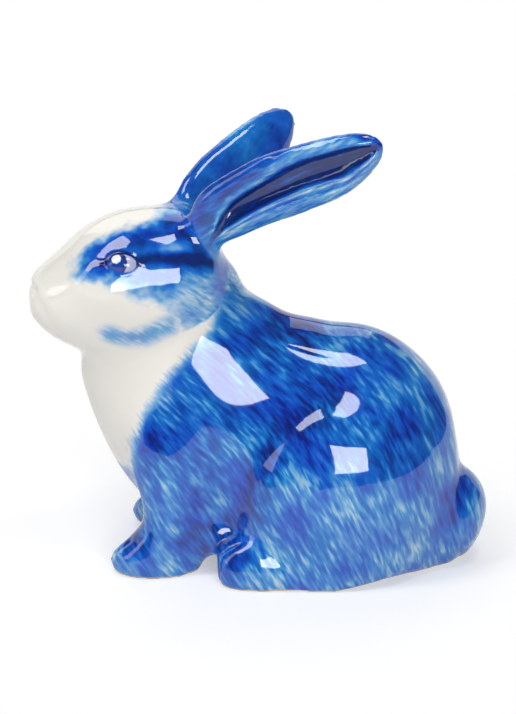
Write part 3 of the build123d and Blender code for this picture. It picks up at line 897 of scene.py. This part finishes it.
# the eyes: cobalt iris with a dark ring on the white ball, under the same clear glaze
eyePaint = {
    "ballColour": "#B4B9DA",
    # painted one over the other: middle in mm backwards and upwards from the eye's, radius, softness, colour
    "discs": [
        ((-1.3, 0.0), 2.8, 0.25, "#10125E"),  # dark ring
        ((-1.3, 0.0), 2.2, 0.5, "#0B3FA0"),  # iris
        ((-1.25, 1.1), 1.1, 0.2, "#EFEFEF"),  # glint
    ],
    "rimColour": "#10125E",
    "rim": (0.3, 0.0),  # mm inside the lids where the dark rim ends, and where it is full
    "wobble": (0.8, 0.5),  # of the painted edges: how many to a mm, and mm
    "roughness": 0.04,
}


def makeEyeGlaze():
    material = newMaterial("pupil_glaze")
    tree = material.node_tree
    along, up, rim = [addNode(tree, "ShaderNodeAttribute", {}, attribute_name=name).outputs["Fac"]
                      for name in ("along", "up", "rim")]
    place = addNode(tree, "ShaderNodeCombineXYZ", {"X": along, "Y": up})
    scale, reach = eyePaint["wobble"]
    wobble = addNode(tree, "ShaderNodeTexNoise", {"Vector": place, "Scale": scale, "Detail": 1.0})
    colour = hexColour(eyePaint["ballColour"])
    for middle, radius, soft, discColour in eyePaint["discs"]:
        away = addNode(tree, "ShaderNodeVectorMath", {0: place, 1: middle + (0,)}, operation="DISTANCE")
        away = addNode(tree, "ShaderNodeMath", {0: wobble, 1: reach, 2: away.outputs["Value"]},
                       operation="MULTIPLY_ADD")
        covered = addNode(tree, "ShaderNodeMapRange", {
            "Value": away, "From Min": radius + reach / 2 + soft, "From Max": radius + reach / 2},
            interpolation_type="SMOOTHSTEP")
        colour = addNode(tree, "ShaderNodeMix", {"Factor": covered, 6: colour, 7: hexColour(discColour)},
                         data_type="RGBA").outputs[2]
    ends, full = eyePaint["rim"]
    covered = addNode(tree, "ShaderNodeMapRange", {"Value": rim, "From Min": ends, "From Max": full},
                      interpolation_type="SMOOTHSTEP")
    colour = addNode(tree, "ShaderNodeMix", {
        "Factor": covered, 6: colour, 7: hexColour(eyePaint["rimColour"])}, data_type="RGBA").outputs[2]
    shader = addNode(tree, "ShaderNodeBsdfPrincipled", {
        "Base Color": colour, "Roughness": eyePaint["roughness"], "IOR": glaze["ior"]})
    addNode(tree, "ShaderNodeOutputMaterial", {"Surface": shader})
    return material


eyeGlaze = makeEyeGlaze()
for name, side in (("left", -1), ("right", 1)):
    middle, back, up, look = eyeAxes(side)
    ball = bmesh.new()
    bmesh.ops.create_uvsphere(ball, u_segments=72, v_segments=48, radius=0.5)
    bmesh.ops.scale(ball, vec=eyes["size"], verts=ball.verts)
    local = np.array([v.co for v in ball.verts])
    turned = Matrix((back, up, look)).transposed().to_4x4()
    bmesh.ops.transform(ball, matrix=Matrix.Translation(middle * mm) @ turned @ Matrix.Scale(mm, 4),
                        verts=ball.verts)
    bmesh.ops.recalc_face_normals(ball, faces=ball.faces)
    mesh = bpy.data.meshes.new("eyeball_" + name)
    ball.to_mesh(mesh)
    ball.free()
    writeField(mesh, "along", local[:, 0])
    writeField(mesh, "up", local[:, 1])
    writeField(mesh, "rim", insideLids(local[:, 0], local[:, 1], 1))
    mesh.shade_smooth()
    mesh.materials.append(eyeGlaze)
    eye = placeObject("eyeball_" + name, mesh)
    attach(eye, "root")
    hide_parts("eye_" + name)
print("eyes made")


# floor, backdrop and light
studio = {
    "paperColour": "#DCDCDC",
    "lift": 0.41,  # what the paper adds near the piece, where its shadow has to stay
    "clear": (0.045, 0.115),  # from where to where, in m from the piece, it clears to plain white
    "world": 0.13,
    "floor": 8,  # m from its middle to its sides
    # the wall behind and the far rim all round: distance, curve and height in m, from and to which azimuth
    "walls": [(1.2, 0.3, 0.5, 125, 292), (7.5, 0.1, 0.15, 0, 360)],
    # softboxes: azimuth, elevation, distance, width and height in m, brightness of the face
    "boxes": [
        (12, 20, 1.25, 0.56, 0.46, 9.4),
        (-67, 28, 0.9, 0.24, 0.58, 2.2),
        (-64, 60, 0.9, 0.24, 0.44, 6.2),
        (46, 74, 0.9, 0.28, 0.18, 8.0),
        (190, 46, 1.0, 1.0, 0.7, 1.4),  # lights the far side
    ],
    "target": (0, 0, 50),  # mm, what they point at
}


def makePaper():
    # matt white paper, which the camera and the glaze see lit up, so that it is white and keeps the shadow
    material = newMaterial("white_paper")
    tree = material.node_tree
    rays = addNode(tree, "ShaderNodeLightPath", {})
    seen = addNode(tree, "ShaderNodeMath", {
        0: rays.outputs["Is Camera Ray"], 1: rays.outputs["Is Glossy Ray"]}, operation="MAXIMUM")
    seen = addNode(tree, "ShaderNodeMath", {0: seen, 1: rays.outputs["Is Transmission Ray"]},
                   operation="MAXIMUM")
    place = addNode(tree, "ShaderNodeTexCoord", {}).outputs["Object"]
    away = addNode(tree, "ShaderNodeVectorMath", {0: place}, operation="LENGTH")
    clear = addNode(tree, "ShaderNodeMapRange", {
        "Value": away.outputs["Value"], "From Min": studio["clear"][0], "From Max": studio["clear"][1]},
        interpolation_type="SMOOTHSTEP")
    clear = addNode(tree, "ShaderNodeMath", {0: clear, 1: seen}, operation="MULTIPLY")
    lift = addNode(tree, "ShaderNodeMath", {0: seen, 1: studio["lift"]}, operation="MULTIPLY")
    matt = addNode(tree, "ShaderNodeBsdfDiffuse", {"Color": hexColour(studio["paperColour"])})
    glow = addNode(tree, "ShaderNodeEmission", {"Color": (1, 1, 1, 1), "Strength": lift})
    lifted = addNode(tree, "ShaderNodeAddShader", {0: matt, 1: glow})
    white = addNode(tree, "ShaderNodeEmission", {"Color": (1, 1, 1, 1), "Strength": 1.0})
    shader = addNode(tree, "ShaderNodeMixShader", {0: clear, 1: lifted, 2: white})
    addNode(tree, "ShaderNodeOutputMaterial", {"Surface": shader})
    return material


sheet = bmesh.new()
bmesh.ops.create_grid(sheet, x_segments=1, y_segments=1, size=studio["floor"])
for distance, curve, height, first, last in studio["walls"]:
    # the wall's profile with its rounded foot, spun round the piece
    turns = [math.radians(90 * step / 12) for step in range(13)]
    profile = [(0, -(distance - curve + curve * math.sin(t)), curve * (1 - math.cos(t))) for t in turns]
    verts = [sheet.verts.new(place) for place in profile + [(0, -distance, height)]]
    edges = [sheet.edges.new(pair) for pair in zip(verts[:-1], verts[1:])]
    bmesh.ops.rotate(sheet, verts=verts, cent=(0, 0, 0), matrix=Matrix.Rotation(math.radians(first), 3, "Z"))
    bmesh.ops.spin(sheet, geom=verts + edges, cent=(0, 0, 0), axis=(0, 0, 1), steps=60,
                   angle=math.radians(last - first), use_merge=last - first == 360)
mesh = bpy.data.meshes.new("floor")
sheet.to_mesh(mesh)
sheet.free()
mesh.shade_smooth()
mesh.materials.append(makePaper())
placeObject("floor", mesh)

world = bpy.data.worlds.new("studio")
bpy.context.scene.world = world
world.use_nodes = True
world.node_tree.nodes.clear()
sky = addNode(world.node_tree, "ShaderNodeBackground", {"Color": (1, 1, 1, 1), "Strength": studio["world"]})
addNode(world.node_tree, "ShaderNodeOutputWorld", {"Surface": sky})

for number, (azimuth, elevation, away, width, height, brightness) in enumerate(studio["boxes"]):
    a, e = math.radians(azimuth), math.radians(elevation)
    towards = Vector((math.sin(a) * math.cos(e), -math.cos(a) * math.cos(e), math.sin(e)))
    lamp = bpy.data.lights.new("softbox_" + str(number), "AREA")
    lamp.shape, lamp.size, lamp.size_y = "RECTANGLE", width, height
    lamp.energy = brightness * math.pi * width * height
    box = placeObject(lamp.name, lamp)
    box.location = Vector(studio["target"]) * mm + towards * away
    box.rotation_euler = towards.to_track_quat("Z", "Y").to_euler()
print("studio lit")

# camera, where the photograph was taken from
view = {"from": (-0.52, -590.63, 244.09), "at": (-0.52, -0.98, 52.5), "lens": 120.25}
camera = placeObject("camera", bpy.data.cameras.new("camera"))
camera.data.lens = view["lens"]
camera.data.clip_start, camera.data.clip_end = 0.01, 20
camera.location = Vector(view["from"]) * mm
camera.rotation_euler = (Vector(view["from"]) - Vector(view["at"])).to_track_quat("Z", "Y").to_euler()
bpy.context.scene.camera = camera

bpy.context.scene.view_settings.view_transform = "Standard"
